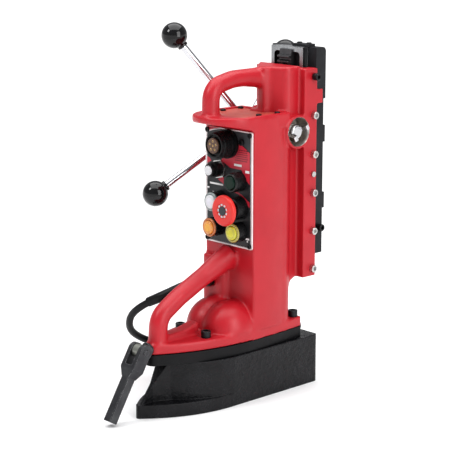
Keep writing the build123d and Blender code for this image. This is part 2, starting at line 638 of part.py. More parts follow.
def make_rack():
    pitch = pi * MODULE
    tip = PITCH_LINE - MODULE
    root = PITCH_LINE + 1.25 * MODULE
    face_y = SLIDE_FRONT - 0.1
    body = block(-RACK_HALF, RACK_HALF, root, face_y, RACK_BOTTOM, 442.4)
    body += block(-RACK_HALF, RACK_HALF, face_y - 0.5, 73, RACK_BOTTOM, 439.0)
    half_tip = (pitch / 2 - TOOTH_THIN) / 2 - MODULE * tan(radians(PRESSURE))
    half_root = (pitch / 2 - TOOTH_THIN) / 2 + 1.25 * MODULE * tan(radians(PRESSURE))
    first = int((RACK_BOTTOM + 3.5 - FEED_Z) // pitch) + 1
    last = int((442.4 - 3.5 - FEED_Z) // pitch)
    teeth = []
    for k in range(first, last + 1):
        z = FEED_Z + k * pitch
        points = [(root + 0.3, z - half_root), (tip, z - half_tip), (tip, z + half_tip), (root + 0.3, z + half_root)]
        teeth.append(profile_x(points, -RACK_HALF, RACK_HALF))
    body = body.fuse(*teeth)
    for z in RACK_SCREW_Z:
        body -= rod_y(2.6, 50, 80, 0, z)
        body -= rod_y(4.6, 50, root + 3.0, 0, z)
    save("rack", body)
    rack_screw = cap_screw(4.4, 2.6, 2.45, 14)
    screws = [facing_front(rack_screw, 0, root + 3.0, z) for z in RACK_SCREW_Z]
    top_screw = cap_screw(3.4, 1.8, 1.9, 9)
    screws += [Pos(x, 87, SLIDE_TOP + 3) * top_screw for x in TOP_SCREW_X]
    save("slide_screws", Compound(screws))


def make_slide_fittings():
    plate = block(-2, 27, WAY_REAR + 0.8, 94, SLIDE_TOP, SLIDE_TOP + 3)
    plate = chamfer(plate.edges().filter_by(Axis.Z), 2)
    for x in TOP_SCREW_X:
        plate -= rod_z(2.2, SLIDE_TOP - 1, SLIDE_TOP + 4, x, 87)
    save("slide_top_plate", plate)
    stop = cap_screw(4.6, 8.5, 3.0, 11)
    save("stop_screw", facing_right(stop, PLATE_HALF, 88, STOP_SCREW_Z))


def make_gib():
    slope = (SLIDE_HALF_FRONT - SLIDE_HALF_NECK) / (WAY_REAR - SLIDE_FRONT)
    front = SLIDE_FRONT + 0.1
    rear = WAY_REAR - 0.3
    near = SLIDE_HALF_FRONT + FIT
    points = [
        (near - slope * (front - SLIDE_FRONT), front),
        (near + GIB_THICK - FIT - slope * (front - SLIDE_FRONT), front),
        (near + GIB_THICK - FIT - slope * (rear - SLIDE_FRONT), rear),
        (near - slope * (rear - SLIDE_FRONT), rear),
    ]
    save("gib_strip", prism_points(points, WAY_BOTTOM + 2, WAY_TOP - 2))
    seat = SLIDE_HALF_FRONT + GIB_THICK - slope * (GIB_SCREW_Y - SLIDE_FRONT) + 0.4
    screw = cap_screw(4.8, 5.5, 2.95, WAY_HALF - seat - 1.5)
    screws = [facing_right(screw, WAY_HALF + 0.2, GIB_SCREW_Y, z) for z in GIB_SCREW_Z]
    dowel = Pos(0, 0, 1.2) * Cylinder(3.6, 2.4) + Pos(0, 0, -3) * Cylinder(2.45, 6.2)
    screws.append(facing_right(dowel, WAY_HALF, GIB_SCREW_Y, DOWEL_Z))
    save("gib_screws", Compound(screws))
    lock = cap_screw(4.8, 6.0, 2.95, WAY_HALF - seat - 1.5)
    lock = Pos(0, 0, 2.5) * lock + Pos(0, 0, 1.25) * Cylinder(4.0, 2.5)
    lock = facing_right(lock, WAY_HALF + 0.2, GIB_SCREW_Y, LOCK_SCREW_Z)
    drag_plug = rod_x(4.8, 18.0, 22.0, FEED_Y, FEED_Z)
    save("lock_screws", Compound([lock, drag_plug]))


# ---------------------------------------------------------------- feed
def involute(base, radius):
    """Angle of the involute of a circle, at a radius outside it."""
    turn = ((radius / base) ** 2 - 1) ** 0.5
    return turn - atan(turn)


def make_pinion():
    base = PITCH_RADIUS * cos(radians(PRESSURE))
    outer = PITCH_RADIUS + MODULE
    root = PITCH_RADIUS - 1.25 * MODULE
    half = (pi * MODULE / 2 - TOOTH_THIN) / (2 * PITCH_RADIUS) + involute(base, PITCH_RADIUS)
    radii = [base + (outer - base) * k / 5 for k in range(6)]
    blank = Cylinder(root, 20)
    teeth = []
    for k in range(PINION_TEETH):
        middle = 2 * pi * (k + 0.5) / PINION_TEETH
        right = [(r, middle - half + involute(base, r)) for r in radii]
        left = [(r, middle + half - involute(base, r)) for r in reversed(radii)]
        ends = [(root - 0.5, middle + half)] + [(root - 0.5, middle - half)]
        polar = right + left + ends
        points = [(r * cos(a), r * sin(a)) for r, a in polar]
        teeth.append(Pos(0, 0, -10) * extrude(make_face(Polyline(points, close=True)), 20))
    wheel = blank.fuse(*teeth)
    # a gap, not a tooth, faces +Y, where the rack's tooth is
    wheel = Rot(0, 90, 0) * Rot(0, 0, 90) * wheel
    return Pos(0, FEED_Y, FEED_Z) * wheel


def spoke_frame(angle):
    """A frame at the hub's apex whose +Z runs out along a spoke."""
    lean = degrees(atan(SPOKE_LEAN / SPOKE_REACH))
    return Pos(HUB_APEX, FEED_Y, FEED_Z) * Rot(angle - 90, 0, 0) * Rot(0, -lean, 0)


def make_feed():
    shaft = rod_x(SHAFT_RADIUS, HUB_FAR + 4, 17.5, FEED_Y, FEED_Z)
    save("pinion_shaft", shaft + make_pinion())
    bushes = [rod_x(11, x0, x1, FEED_Y, FEED_Z) - rod_x(SHAFT_RADIUS + FIT, x0 - 1, x1 + 1, FEED_Y, FEED_Z) for x0, x1 in ((-50, -12), (12, 17))]
    save("shaft_bushes", Compound(bushes))
    hub = rod_x(HUB_RADIUS, HUB_FAR, HUB_NEAR, FEED_Y, FEED_Z)
    hub = chamfer(hub.edges().filter_by(GeomType.CIRCLE), 1.5)
    hub -= rod_x(SHAFT_RADIUS, HUB_FAR + 4, HUB_NEAR + 5, FEED_Y, FEED_Z)
    hub -= rod_x(3.1, HUB_FAR - 1, HUB_FAR + 6, FEED_Y, FEED_Z)
    length = (SPOKE_REACH**2 + SPOKE_LEAN**2) ** 0.5
    start = 11.0
    spokes = []
    knobs = []
    for angle in SPOKE_ANGLES:
        frame = spoke_frame(angle)
        bar = frame * Pos(0, 0, (start + length - 6) / 2) * Cylinder(SPOKE_RADIUS, length - 6 - start)
        hub -= bar
        spokes.append(bar)
        ball = Sphere(KNOB_RADIUS) + Pos(0, 0, -KNOB_RADIUS + 1) * Cylinder(7.0, 5)
        ball -= Pos(0, 0, -KNOB_RADIUS + 4.5) * Cylinder(SPOKE_RADIUS, 20 - 7)
        knobs.append(frame * Pos(0, 0, length) * ball)
    shaft_gap = rod_x(SHAFT_RADIUS, HUB_FAR, HUB_NEAR, FEED_Y, FEED_Z)
    save("hub", hub)
    save("spokes", Compound([bar - shaft_gap for bar in spokes]))
    save("knobs", Compound([ball - bar for ball, bar in zip(knobs, spokes)]))
    screw = cap_screw(6.0, 4.5, 3.0, 4.0)
    save("hub_screw", Pos(HUB_FAR, FEED_Y, FEED_Z) * Rot(0, -90, 0) * screw)


def make_wing_screw():
    foot = RECESS_FLOOR + 0.8
    body = rod_x(4.9, 22.2, 38, FEED_Y, FEED_Z) + rod_x(10.0, foot, 37.5, FEED_Y, FEED_Z)
    crown = rod_x(10.0, 37.0, 42.0, FEED_Y, FEED_Z)
    body += fillet(crown.edges().group_by(Axis.X)[-1], 3.5)
    wing = [(5.0, 33.0), (7.0, 43.0), (10.0, 51.0), (15.0, 50.0), (15.0, 40.0), (8.0, 28.5)]
    for turn in (32, 212):
        points = [(x, offset) for offset, x in wing]
        blade = make_face(Polyline([(x, y, 0) for x, y in points], close=True))
        blade = Pos(0, 0, -3.4) * extrude(blade, 6.8)
        blade = fillet(blade.edges().filter_by(Axis.Z), 1.8)
        body += Pos(0, FEED_Y, FEED_Z) * Rot(turn, 0, 0) * blade
    save("wing_screw", body)


# ---------------------------------------------------------------- clamp
def make_clamp():
    bar = rod_y(5.0, PIVOT_Y, -128, 0, PIVOT_Z)
    eye = rod_x(8.5, -5.6, 5.6, PIVOT_Y, PIVOT_Z)
    bar = bar + eye - rod_x(4.0 + FIT, -10, 10, PIVOT_Y, PIVOT_Z)
    save("draw_bar", bar)
    wedge = block(-11.5, 11.5, -145, -128, 71.0, FLANGE_TOP - 1.6)
    wedge -= rod_y(5.0, -150, -120, 0, PIVOT_Z)
    wedge -= profile_x([(-146, 70), (-146, 74), (-127, 70)], -20, 20)
    save("clamp_wedge", wedge)
    collar = rod_y(8.5, NOSE_TIP - 2.2, NOSE_TIP + 3, 0, PIVOT_Z) - rod_y(5.2, -200, -150, 0, PIVOT_Z)
    collar -= prism_z(boat_plan(), PLATE_TOP - 10, FLANGE_TOP + 20)
    save("nose_washer", collar)
    pin = rod_x(4.0, -13.5, 13.5, PIVOT_Y, PIVOT_Z)
    pin = chamfer(pin.edges().filter_by(GeomType.CIRCLE), 0.6)
    save("lever_pin", pin)
    # the lever is made hanging straight down from its pivot, then leaned forward
    cheek = rod_x(9.5, -12.2, 12.2, 0, 0)
    fork = cheek + block(-12.2, 12.2, -9.5, 8.0, -25, 0)
    taper = loft([
        Plane((0, -0.75, -25)) * Rectangle(24.4, 17.5),
        Plane((0, -0.5, -36)) * Rectangle(13.0, 13.0),
    ])
    arm = block(-6.5, 6.5, -7, 6, -LEVER_LENGTH, -36)
    arm = chamfer(arm.edges().filter_by(Axis.Z), 1.2)
    lever = fork + taper + arm
    lever -= block(-6.1, 6.1, -20, 20, -20.5, 20)
    lever -= rod_x(4.0, -20, 20, 0, 0)
    lever = Pos(0, PIVOT_Y, PIVOT_Z) * Rot(-LEVER_LEAN, 0, 0) * lever
    save("clamp_lever", lever)


# ---------------------------------------------------------------- power cord
def rounded_route(points):
    """Straight runs joined by the widest arcs their lengths allow, and those arcs' radii."""
    route = [Vector(*p) for p in points]
    radii = []
    for before, here, after in zip(route, route[1:], route[2:]):
        run_in = here - before
        run_out = after - here
        turn = radians(run_in.get_angle(run_out))
        radii.append(0.45 * min(run_in.length, run_out.length) / tan(turn / 2))
    return FilletPolyline(route, radius=radii), radii


def make_cord():
    gx, gy, gz = GLAND
    inner = COLUMN_FRONT + WALL
    gland = rod_y(7.9, gy - 0.5, inner + 3.6, gx, gz)
    gland += rod_y(8.6, inner + 0.6, inner + 3.6, gx, gz)
    gland += rod_y(9.5, gy - 5, gy - 0.1, gx, gz)
    save("cord_gland", gland)

    path, radii = rounded_route(CORD_ROUTE)
    print("cord radii:", [round(r) for r in radii])
    tube = sweep(Plane(path @ 0, z_dir=path % 0) * Circle(CORD_RADIUS), path)
    print("cord volume ratio:", tube.volume / (pi * CORD_RADIUS**2 * path.length))
    print("cord length without its coil:", round(path.length))
    save("power_cord", tube)
    sleeve_path, sleeve_radii = rounded_route(SLEEVE_ROUTE)
    print("sleeve radii:", [round(r) for r in sleeve_radii])
    wide = Plane(sleeve_path @ 0, z_dir=sleeve_path % 0) * Circle(8.0)
    narrow = Plane(sleeve_path @ 1, z_dir=sleeve_path % 1) * Circle(6.2)
    sleeve = sweep([wide, narrow], path=sleeve_path, multisection=True)
    save("strain_relief", sleeve - tube)

    # the put-away turns, as one ring whose rounded section holds them all
    cx, cy = COIL_CENTRE
    section = RectangleRounded(2 * COIL_HALF_BAND, COIL_HEIGHT - 0.4, 4.7)
    ring_section = Pos(COIL_MIDDLE_RADIUS, COIL_HEIGHT / 2) * section
    coil = revolve(Plane.XZ * ring_section, Axis.Z)
    coil = Pos(cx, cy, 0.2) * coil
    tie_hole = block(cx - 5, cx + 5, cy + 30, cy + 90, -1, COIL_HEIGHT + 5) & coil
    tie_y = cy + COIL_MIDDLE_RADIUS
    tie_outer = block(cx - 4, cx + 4, tie_y - 14, tie_y + 14, 0.1, COIL_HEIGHT + 1.6)
    tie_outer = fillet(tie_outer.edges().filter_by(Axis.X), 5)
    save("cord_coil", coil)
    save("cord_tie", tie_outer - tie_hole)

    # plug lying on the turns
    px, py, pz = cx + 4.0, cy - COIL_MIDDLE_RADIUS, COIL_HEIGHT + 13.4
    plug = loft([
        Plane((px + 20, py, pz), z_dir=(1, 0, 0)) * Circle(13),
        Plane((px - 12, py, pz), z_dir=(1, 0, 0)) * Circle(12),
        Plane((px - 32, py, pz - 4), z_dir=(1, 0, 0)) * Circle(6.5),
    ], ruled=True)
    save("plug_body", plug)
    blades = [block(px + 20, px + 38, py + dy - 0.8, py + dy + 0.8, pz - 3.2, pz + 3.2) for dy in (-6.3, 6.3)]
    blades.append(rod_x(2.4, px + 20, px + 40, py, pz - 8.0))
    save("plug_blades", Compound(blades))


make_magnet()
make_swivel_block()
make_swivel_plate()
make_housing()
make_base_screws()
make_deck_cover()
make_panel()
make_receptacle()
make_breaker()
make_buttons()
make_stop()
make_electronics()
make_slide()
make_rack()
make_slide_fittings()
make_gib()
make_feed()
make_wing_screw()
make_clamp()
make_cord()
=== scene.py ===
"""Looks for the magnetic drill press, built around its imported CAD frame."""
import math

import bmesh
import bpy
from mathutils import Matrix, Vector


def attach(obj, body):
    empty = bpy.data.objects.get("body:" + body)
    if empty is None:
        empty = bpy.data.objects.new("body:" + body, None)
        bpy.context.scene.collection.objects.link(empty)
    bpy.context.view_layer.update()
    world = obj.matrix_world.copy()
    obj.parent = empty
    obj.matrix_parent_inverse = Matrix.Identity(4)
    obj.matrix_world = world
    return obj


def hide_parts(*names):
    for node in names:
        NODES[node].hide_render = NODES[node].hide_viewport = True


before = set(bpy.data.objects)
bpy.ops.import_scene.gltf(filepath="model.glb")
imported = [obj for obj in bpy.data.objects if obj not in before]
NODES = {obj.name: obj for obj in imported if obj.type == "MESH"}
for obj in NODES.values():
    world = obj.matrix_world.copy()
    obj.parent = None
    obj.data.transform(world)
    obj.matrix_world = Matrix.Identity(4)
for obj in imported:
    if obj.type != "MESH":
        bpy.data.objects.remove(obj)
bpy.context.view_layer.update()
scene = bpy.context.scene
MM = 0.001

# The photograph's camera, in metres, degrees and millimetres of lens.
CAMERA_PLACE = (1.375405, -1.322887, 0.637518)
CAMERA_AZIMUTH = 47.045
CAMERA_PITCH = 12.392
CAMERA_LENS = 120.19
SENSOR_WIDTH = 36
FLOOR_HALF = 0.8


# ---------------------------------------------------------------- camera, light and floor
def add_camera():
    azimuth = math.radians(CAMERA_AZIMUTH)
    pitch = math.radians(CAMERA_PITCH)
    right = Vector((math.cos(azimuth), math.sin(azimuth), 0))
    back = Vector((
        math.sin(azimuth) * math.cos(pitch),
        -math.cos(azimuth) * math.cos(pitch),
        math.sin(pitch),
    ))
    up = back.cross(right)
    data = bpy.data.cameras.new("view")
    data.lens = CAMERA_LENS
    data.sensor_width = SENSOR_WIDTH
    camera = bpy.data.objects.new("view", data)
    scene.collection.objects.link(camera)
    turn = Matrix((right, up, back)).transposed().to_4x4()
    camera.matrix_world = Matrix.Translation(CAMERA_PLACE) @ turn
    scene.camera = camera


def add_light(name, place, target, size, power, height=None):
    data = bpy.data.lights.new(name, "AREA")
    data.shape = "RECTANGLE"
    data.size = size
    data.size_y = height or size
    data.energy = power
    light = bpy.data.objects.new(name, data)
    light.location = place
    light.rotation_euler = (Vector(target) - Vector(place)).to_track_quat("-Z", "Y").to_euler()
    scene.collection.objects.link(light)


def add_studio():
    scene.view_settings.view_transform = "Standard"
    scene.view_settings.look = "Medium High Contrast"
    world = bpy.data.worlds.new("studio")
    world.use_nodes = True
    tree = world.node_tree
    coords = tree.nodes.new("ShaderNodeTexCoord")
    split = tree.nodes.new("ShaderNodeSeparateXYZ")
    link(tree, coords.outputs["Generated"], split.inputs[0])
    height = add_range(tree, split.outputs["Z"], 0.0, 0.12, 0, 1)
    colour = add_mix(tree, height, (1.02, 1.02, 1.02), (0.36, 0.36, 0.37))
    link(tree, colour, tree.nodes["Background"].inputs[0])
    scene.world = world
    add_light("top", (-0.1, 0.1, 2.4), (0, 0, 0), 3.0, 66)
    add_light("side", (1.9, -0.1, 0.9), (0, 0, 0.25), 1.0, 17, height=1.6)
    add_light("key", (-0.5, -1.3, 1.5), (0, 0, 0.25), 0.5, 7)


# ---------------------------------------------------------------- materials
def link(tree, a, b):
    tree.links.new(a, b)


def add_noise(tree, coords, scale, detail, rough=0.55, stretch=None):
    """Noise in the object's own metres; stretch lengthens it along an axis, as brushing does."""
    noise = tree.nodes.new("ShaderNodeTexNoise")
    noise.inputs["Scale"].default_value = scale
    noise.inputs["Detail"].default_value = detail
    noise.inputs["Roughness"].default_value = rough
    source = coords.outputs["Object"]
    if stretch:
        mapping = tree.nodes.new("ShaderNodeMapping")
        mapping.inputs["Scale"].default_value = stretch
        link(tree, source, mapping.inputs["Vector"])
        source = mapping.outputs["Vector"]
    link(tree, source, noise.inputs["Vector"])
    return noise.outputs["Fac"]


def add_range(tree, value, low, high, to_low, to_high):
    node = tree.nodes.new("ShaderNodeMapRange")
    node.inputs["From Min"].default_value = low
    node.inputs["From Max"].default_value = high
    node.inputs["To Min"].default_value = to_low
    node.inputs["To Max"].default_value = to_high
    link(tree, value, node.inputs["Value"])
    return node.outputs["Result"]


def add_mix(tree, factor, a, b):
    node = tree.nodes.new("ShaderNodeMix")
    node.data_type = "RGBA"
    link(tree, factor, node.inputs["Factor"])
    for socket, colour in ((node.inputs[6], a), (node.inputs[7], b)):
        if isinstance(colour, tuple):
            socket.default_value = (*colour, 1)
        else:
            link(tree, colour, socket)
    return node.outputs[2]


def add_math(tree, operation, a, b):
    node = tree.nodes.new("ShaderNodeMath")
    node.operation = operation
    for socket, value in zip(node.inputs, (a, b)):
        if isinstance(value, (int, float)):
            socket.default_value = value
        else:
            link(tree, value, socket)
    return node.outputs[0]


def surface(name, colour, rough, metallic=0.0, grain=300.0, bump=0.1, spread=0.12, second=None,
            edge=1.0, wear=None, wear_amount=0.5, coat=0.0, coat_rough=0.08, stretch=None, specular=0.5,
            fine=1400.0, depth=0.0004, blotch=60.0):
    """A finish with broad colour variation, grain in its roughness and relief, and rounded edges.

    edge is the radius of the rounding in millimetres, depth the relief in metres; blotch, grain and
    fine are noise scales. wear is the colour that shows where the edges are rubbed.
    """
    material = bpy.data.materials.new(name)
    material.use_nodes = True
    tree = material.node_tree
    shader = tree.nodes["Principled BSDF"]
    shader.inputs["Base Color"].default_value = (*colour, 1)
    shader.inputs["Metallic"].default_value = metallic
    shader.inputs["Specular IOR Level"].default_value = specular
    shader.inputs["Coat Weight"].default_value = coat
    shader.inputs["Coat Roughness"].default_value = coat_rough
    coords = tree.nodes.new("ShaderNodeTexCoord")
    broad = add_noise(tree, coords, blotch, 3)
    grainy = add_noise(tree, coords, grain, 6, 0.6, stretch)
    tiny = add_noise(tree, coords, fine, 3, 0.6, stretch)
    shade = second or tuple(0.8 * c for c in colour)
    base = add_mix(tree, add_range(tree, broad, 0.3, 0.7, 0, 1), colour, shade)
    rounded = tree.nodes.new("ShaderNodeBevel")
    rounded.samples = 4
    rounded.inputs["Radius"].default_value = edge * MM
    if wear:
        geometry = tree.nodes.new("ShaderNodeNewGeometry")
        dot = tree.nodes.new("ShaderNodeVectorMath")
        dot.operation = "DOT_PRODUCT"
        link(tree, rounded.outputs[0], dot.inputs[0])
        link(tree, geometry.outputs["True Normal"], dot.inputs[1])
        worn = add_range(tree, dot.outputs["Value"], 0.995, 0.8, 0, 1)
        worn = add_math(tree, "MULTIPLY", worn, add_range(tree, grainy, 0.45, 0.62, 0, wear_amount))
        base = add_mix(tree, worn, base, wear)
    link(tree, base, shader.inputs["Base Color"])
    mixed = add_math(tree, "ADD", grainy, add_math(tree, "MULTIPLY", broad, 0.6))
    link(tree, add_range(tree, mixed, 0.45, 1.15, max(rough - spread, 0.03), rough + spread),
         shader.inputs["Roughness"])
    relief = add_math(tree, "ADD", grainy, add_math(tree, "MULTIPLY", tiny, 0.4))
    bumped = tree.nodes.new("ShaderNodeBump")
    bumped.inputs["Strength"].default_value = bump
    bumped.inputs["Distance"].default_value = depth
    link(tree, relief, bumped.inputs["Height"])
    link(tree, rounded.outputs[0], bumped.inputs["Normal"])
    link(tree, bumped.outputs[0], shader.inputs["Normal"])
    if coat:
        link(tree, rounded.outputs[0], shader.inputs["Coat Normal"])
    return material


def dress(material, *names):
    """Gives CAD nodes their material."""
    for name in names:
        materials = NODES[name].data.materials
        materials.clear()
        materials.append(material)


def add_piece(name, mesh, body, slot, *materials):
    piece = bpy.data.objects.new(name, mesh)
    scene.collection.objects.link(piece)
    for material in materials:
        mesh.materials.append(material)
    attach(piece, body)
    return piece


# ---------------------------------------------------------------- power cord
# All in millimetres and degrees.
CORD_ROUTE = [
    (-52.2, -111.8, 130.2),
    (-86.0, -125.4, 112.3),
    (-111.0, -115.5, 78.6),
    (-120.4, -82.5, 54.2),
    (-110.6, -50.7, 43.2),
    (-106.4, -14.1, 19.5),
    (-92.0, 18.0, 5.2),
    (-83.0, 68.0, 5.2),
    (-80.2, 106.8, 5.2),
]
CORD_RADIUS = 4.8
COIL_CENTRE = (-136.0, 150.0)
COIL_START = -20
COIL_STEP = 30
COIL_COUNT = 67
COIL_END = [(190, 51.5, 30.5), (217, 56.0, 37.0)]
# (radius, height) of each pass of the coil.
COIL_SLOTS = [(60.4, 5.2), (50.4, 5.2), (50.4, 14.9), (60.4, 14.9), (60.4, 24.6), (50.4, 24.6)]
PLUG_TAIL = (-164.0, 95.0, 38.4)


def coil_point(degrees, radius, height):
    turn = math.radians(degrees)
    return COIL_CENTRE[0] + radius * math.cos(turn), COIL_CENTRE[1] + radius * math.sin(turn), height


def coil_points():
    """The put-away turns: two wide and three high, each pass stepping to its next place a little sooner."""
    points = []
    place = 0
    for index in range(COIL_COUNT):
        if place < len(COIL_SLOTS) - 1 and index == 12 * (place + 1) - place:
            place += 1
        points.append(coil_point(COIL_START + COIL_STEP * index, *COIL_SLOTS[place]))
    return points + [coil_point(*end) for end in COIL_END]


def add_cord(material):
    points = CORD_ROUTE + coil_points() + [PLUG_TAIL]
    data = bpy.data.curves.new("cord", "CURVE")
    data.dimensions = "3D"
    data.bevel_depth = CORD_RADIUS * MM
    data.bevel_resolution = 5
    data.resolution_u = 6
    spline = data.splines.new("NURBS")
    spline.points.add(len(points) - 1)
    for point, place in zip(spline.points, points):
        point.co = (*(c * MM for c in place), 1)
    spline.order_u = 3
    spline.use_endpoint_u = True
    cord = bpy.data.objects.new("cord", data)
    scene.collection.objects.link(cord)
    data.materials.append(material)
    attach(cord, "stand")
    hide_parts("power_cord", "cord_coil")


def add_floor():
    data = bpy.data.meshes.new("floor")
    half = FLOOR_HALF
    corners = [(-half, -half, 0), (half, -half, 0), (half, half, 0), (-half, half, 0)]
    data.from_pydata(corners, [], [(0, 1, 2, 3)])
    floor = bpy.data.objects.new("floor", data)
    scene.collection.objects.link(floor)
    material = surface("floor_paper", (0.93, 0.93, 0.93), 0.7, grain=80, bump=0.01, spread=0.05,
                       second=(0.92, 0.92, 0.92), specular=0.2)
    data.materials.append(material)


add_camera()
add_studio()
RUBBER = surface("cord_rubber", (0.007, 0.007, 0.0075), 0.36, grain=900, bump=0.12, spread=0.1,
                 second=(0.011, 0.011, 0.012), specular=0.25)
add_cord(RUBBER)
add_floor()


# ---------------------------------------------------------------- finishes
RED = surface("red_enamel", (0.46, 0.013, 0.024), 0.38, grain=120, bump=0.12, spread=0.07,
              second=(0.41, 0.011, 0.021), edge=1.5, specular=0.5, depth=0.0005, blotch=25, fine=700)
BLACK_PAINT = surface("magnet_enamel", (0.0035, 0.0035, 0.0045), 0.24, grain=150, bump=0.9, spread=0.12,
                      second=(0.010, 0.010, 0.012), edge=2.2, wear=(0.05, 0.05, 0.055), wear_amount=0.3,
                      specular=0.3, depth=0.0012, blotch=45, fine=500)
PLATE_BLACK = surface("plate_enamel", (0.005, 0.005, 0.006), 0.45, grain=300, bump=0.25, edge=1.0,
                      specular=0.25)
DARK_STEEL = surface("dark_satin", (0.022, 0.023, 0.026), 0.5, grain=400, bump=0.15,
                     second=(0.016, 0.016, 0.018), edge=0.7, wear=(0.12, 0.12, 0.13), wear_amount=0.3,
                     specular=0.25)
RACK_STEEL = surface("rack_steel", (0.10, 0.10, 0.105), 0.4, 0.8, grain=400, bump=0.15, edge=0.3,
                     wear=(0.5, 0.5, 0.5), wear_amount=0.6)
BARE_CASTING = surface("bare_casting", (0.62, 0.60, 0.58), 0.34, 0.75, grain=240, bump=0.12, spread=0.12,
                       second=(0.34, 0.27, 0.21), edge=0.4, blotch=70)
SLIDE_STEEL = surface("ground_steel", (0.40, 0.41, 0.42), 0.34, 1.0, grain=260, bump=0.08, spread=0.1,
                      second=(0.32, 0.33, 0.34), edge=0.5, stretch=(1, 1, 0.12), wear=(0.8, 0.8, 0.8))
PIVOT_STEEL = surface("turned_steel", (0.35, 0.35, 0.36), 0.35, 1.0, grain=500, bump=0.1, edge=0.4,
                      wear=(0.7, 0.7, 0.7))
CHROME = surface("bright_plate", (0.60, 0.60, 0.62), 0.12, 1.0, grain=700, bump=0.03, spread=0.05,
                 second=(0.66, 0.66, 0.68), edge=0.4)
ZINC = surface("zinc_screws", (0.62, 0.62, 0.60), 0.28, 1.0, grain=900, bump=0.08, second=(0.5, 0.5, 0.5),
               edge=0.3)
BLACK_SCREW = surface("black_oxide", (0.012, 0.012, 0.014), 0.4, 0.3, grain=800, bump=0.12, edge=0.35,
                      wear=(0.25, 0.25, 0.25), wear_amount=0.5)
GUNMETAL = surface("gunmetal", (0.085, 0.087, 0.09), 0.38, 0.75, grain=420, bump=0.3, spread=0.12,
                   second=(0.05, 0.05, 0.055), edge=0.8, wear=(0.6, 0.6, 0.6), wear_amount=0.9)
EYE_STEEL = surface("eye_steel", (0.30, 0.31, 0.28), 0.4, 0.8, grain=500, bump=0.2, second=(0.2, 0.2, 0.18),
                    edge=0.6, wear=(0.6, 0.6, 0.58))
BLACK_PLASTIC = surface("black_moulding", (0.006, 0.006, 0.0065), 0.28, grain=800, bump=0.08,
                        second=(0.010, 0.010, 0.011), edge=0.5, specular=0.25)
KNOB = surface("knob_black", (0.004, 0.004, 0.0045), 0.1, grain=160, bump=0.02, spread=0.05, coat=0.6,
               coat_rough=0.05, second=(0.007, 0.007, 0.008), edge=0.4, specular=0.2)
TAN = surface("tan_insulator", (0.13, 0.07, 0.045), 0.4, grain=900, bump=0.1, second=(0.08, 0.045, 0.03),
              edge=0.3)
BRASS = surface("brass", (0.72, 0.5, 0.26), 0.25, 1.0, grain=900, bump=0.06, edge=0.2)
WHITE = surface("white_cap", (0.66, 0.66, 0.68), 0.3, grain=600, bump=0.03, second=(0.6, 0.6, 0.62), edge=0.6)
GREEN = surface("green_cap", (0.002, 0.014, 0.008), 0.3, grain=600, bump=0.04, second=(0.004, 0.022, 0.014),
                edge=0.6, specular=0.25)
AMBER = surface("amber_lens", (0.72, 0.30, 0.045), 0.2, grain=300, bump=0.05, second=(0.60, 0.22, 0.035),
                edge=1.2, coat=0.7)
YELLOW = surface("yellow_lens", (0.62, 0.60, 0.04), 0.2, grain=300, bump=0.05, second=(0.5, 0.48, 0.035),
                 edge=1.2, coat=0.7)
STOP_RED = surface("stop_red", (0.66, 0.035, 0.028), 0.36, grain=500, bump=0.04, second=(0.60, 0.03, 0.025),
                   edge=1.5)
GREY_PLASTIC = surface("grey_moulding", (0.03, 0.034, 0.04), 0.42, grain=700, bump=0.08, edge=0.5)
BOARD = surface("board_green", (0.02, 0.14, 0.05), 0.4, grain=500, bump=0.05, edge=0.3)
COPPER = surface("winding", (0.45, 0.18, 0.08), 0.4, 0.8, grain=500, bump=0.4, edge=0.8)
POTTING = surface("resin", (0.02, 0.018, 0.016), 0.3, grain=200, bump=0.15, edge=0.5)
# The deck cover's red is paler and more orange than RED. This is a painted highlight for the strong top light
# on the flat deck, not a different paint.
DECK_PAINTED_HIGHLIGHT = surface("deck_enamel_painted_highlight", (0.52, 0.10, 0.07), 0.4, grain=170, bump=0.12, spread=0.08,
               second=(0.46, 0.07, 0.055), edge=0.5)
RIM_COLOURS = {
    "green": surface("rim_black", (0.008, 0.009, 0.009), 0.3, grain=700, bump=0.05, edge=0.5),
    "white": surface("rim_clear", (0.26, 0.29, 0.29), 0.25, 0.2, grain=700, bump=0.05, edge=0.6, coat=0.5),
    "orange": surface("rim_copper", (0.50, 0.17, 0.06), 0.26, 0.3, grain=700, bump=0.05, edge=0.6, coat=0.4),
    "yellow": surface("rim_brass", (0.44, 0.38, 0.10), 0.26, 0.3, grain=700, bump=0.05, edge=0.6, coat=0.4),
}
PANEL_EDGE = surface("panel_border", (0.80, 0.74, 0.74), 0.4, grain=600, bump=0.04, edge=0.5,
                     second=(0.72, 0.66, 0.66))


# ---------------------------------------------------------------- cast housing
CASTING = ("housing", "housing_flange", "top_handle", "loop_handle")
VOXEL = 0.0015
PLAIN_ROUNDS = 2
CAST_ROUNDS = 22
# Unmachined zones of the casting in metres: (low y, high y, low z, high z).
CAST_ZONES = [
    (-math.inf, -0.0355, -math.inf, 0.196),
    (-math.inf, 0.046, 0.096, 0.150),
    (-math.inf, 0.050, 0.371, math.inf),
    (-math.inf, -0.036, 0.349, math.inf),
]
# The wall behind the pivot nut is set back by NUT_ROOM. It still touches the nut at shift_min.
NUT_ROOM = 0.0018
NUT_WALL = (0.0195, 0.0245, 0.091, 0.112)
NUT_WALL_HALF = 0.020
# The bare recess round the wing screw, in millimetres: centre (y, z), radius and depth along x.
WING_CENTRE = (43.7, 341.0)
WING_RADIUS = 19.2
WING_DEPTH = (24.5, 46.3)


def inside(y, z, zone):
    return zone[0] < y < zone[1] and zone[2] < z < zone[3]


def apply_modifiers(piece):
    """Gives the piece the mesh that its modifiers make, and takes the modifiers off."""
    bpy.context.view_layer.update()
    made = bpy.data.meshes.new_from_object(piece.evaluated_get(bpy.context.evaluated_depsgraph_get()))
    piece.modifiers.clear()
    piece.data = made
    return made


